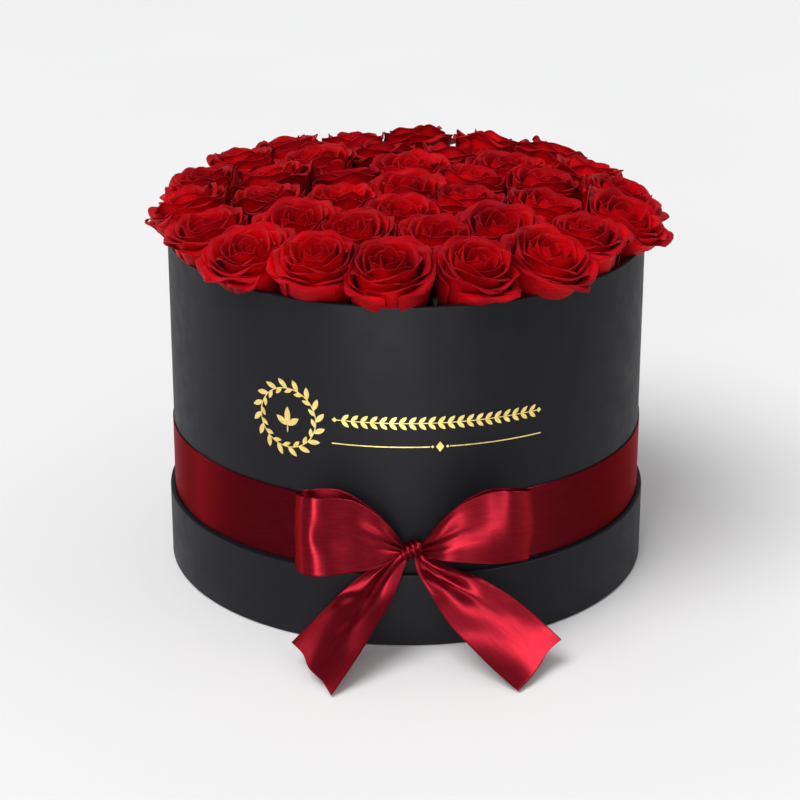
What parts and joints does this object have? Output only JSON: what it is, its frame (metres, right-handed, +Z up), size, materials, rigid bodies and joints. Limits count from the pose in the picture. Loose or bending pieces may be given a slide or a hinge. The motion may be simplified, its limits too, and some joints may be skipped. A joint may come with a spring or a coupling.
{
  "type": "flower box",
  "caption": "Round black paper hat box standing in its own upturned lid, packed with a low dome of red roses and tied round with a red satin ribbon and front bow.",
  "frame": {"origin": "centre of the underside of the upturned lid that the box stands in, on the table", "axes": "+Z up along the box's axis, -Y towards the viewer and the bow, +X to the viewer's right"},
  "size_m": [0.287, 0.3485, 0.2318],
  "materials": {
    "black_paper": "matte charcoal-black covering paper with a fine grain, glued over board",
    "greyboard": "uncoated grey-brown pulp board, seen only at raw edges and inside",
    "red_satin": "dark red double-faced satin ribbon with a soft sheen",
    "gold_foil": "hot-stamped gold foil, smooth and bright",
    "liner_plastic": "thin vacuum-formed black plastic tray",
    "green_foam": "dark green floral foam, soaked, with a crumbly open cell",
    "rose_red": "velvety red petals with darker rims, over a green calyx and stem"
  },
  "bodies": {
    "lid": {"lid_face_paper": "black_paper", "lid_board": "greyboard", "lid_wall": "greyboard", "lid_side_paper": "black_paper"},
    "box": {"box_base_paper": "black_paper", "box_base_board": "greyboard", "box_wall": "greyboard", "box_side_paper": "black_paper", "box_lining": "black_paper", "ribbon_band": "red_satin", "bow_knot": "red_satin", "bow_loop_left": "red_satin", "bow_loop_right": "red_satin", "bow_tail_left": "red_satin", "bow_tail_right": "red_satin", "foil_wreath": "gold_foil", "foil_border": "gold_foil", "foil_rule": "gold_foil"},
    "riser": {"riser_ring": "greyboard", "riser_platform": "greyboard"},
    "insert": {"liner": "liner_plastic", "foam": "green_foam", "rose_01": "rose_red", "rose_02": "rose_red", "rose_03": "rose_red", "rose_04": "rose_red", "rose_05": "rose_red", "rose_06": "rose_red", "rose_07": "rose_red", "rose_08": "rose_red", "rose_09": "rose_red", "rose_10": "rose_red", "rose_11": "rose_red", "rose_12": "rose_red", "rose_13": "rose_red", "rose_14": "rose_red", "rose_15": "rose_red", "rose_16": "rose_red", "rose_17": "rose_red", "rose_18": "rose_red", "rose_19": "rose_red", "rose_20": "rose_red", "rose_21": "rose_red", "rose_22": "rose_red", "rose_23": "rose_red", "rose_24": "rose_red", "rose_25": "rose_red", "rose_26": "rose_red", "rose_27": "rose_red", "rose_28": "rose_red", "rose_29": "rose_red", "rose_30": "rose_red", "rose_31": "rose_red", "rose_32": "rose_red", "rose_33": "rose_red", "rose_34": "rose_red", "rose_35": "rose_red", "rose_36": "rose_red", "rose_37": "rose_red"}
  },
  "joints": [
    {"name": "box_lift", "type": "slide", "parent": "lid", "child": "box", "axis": [0, 0, 1], "range_m": [0, 0.05]},
    {"name": "riser_lift", "type": "slide", "parent": "box", "child": "riser", "axis": [0, 0, 1], "range_m": [0, 0.2]},
    {"name": "insert_lift", "type": "slide", "parent": "riser", "child": "insert", "axis": [0, 0, 1], "range_m": [0, 0.14]}
  ]
}
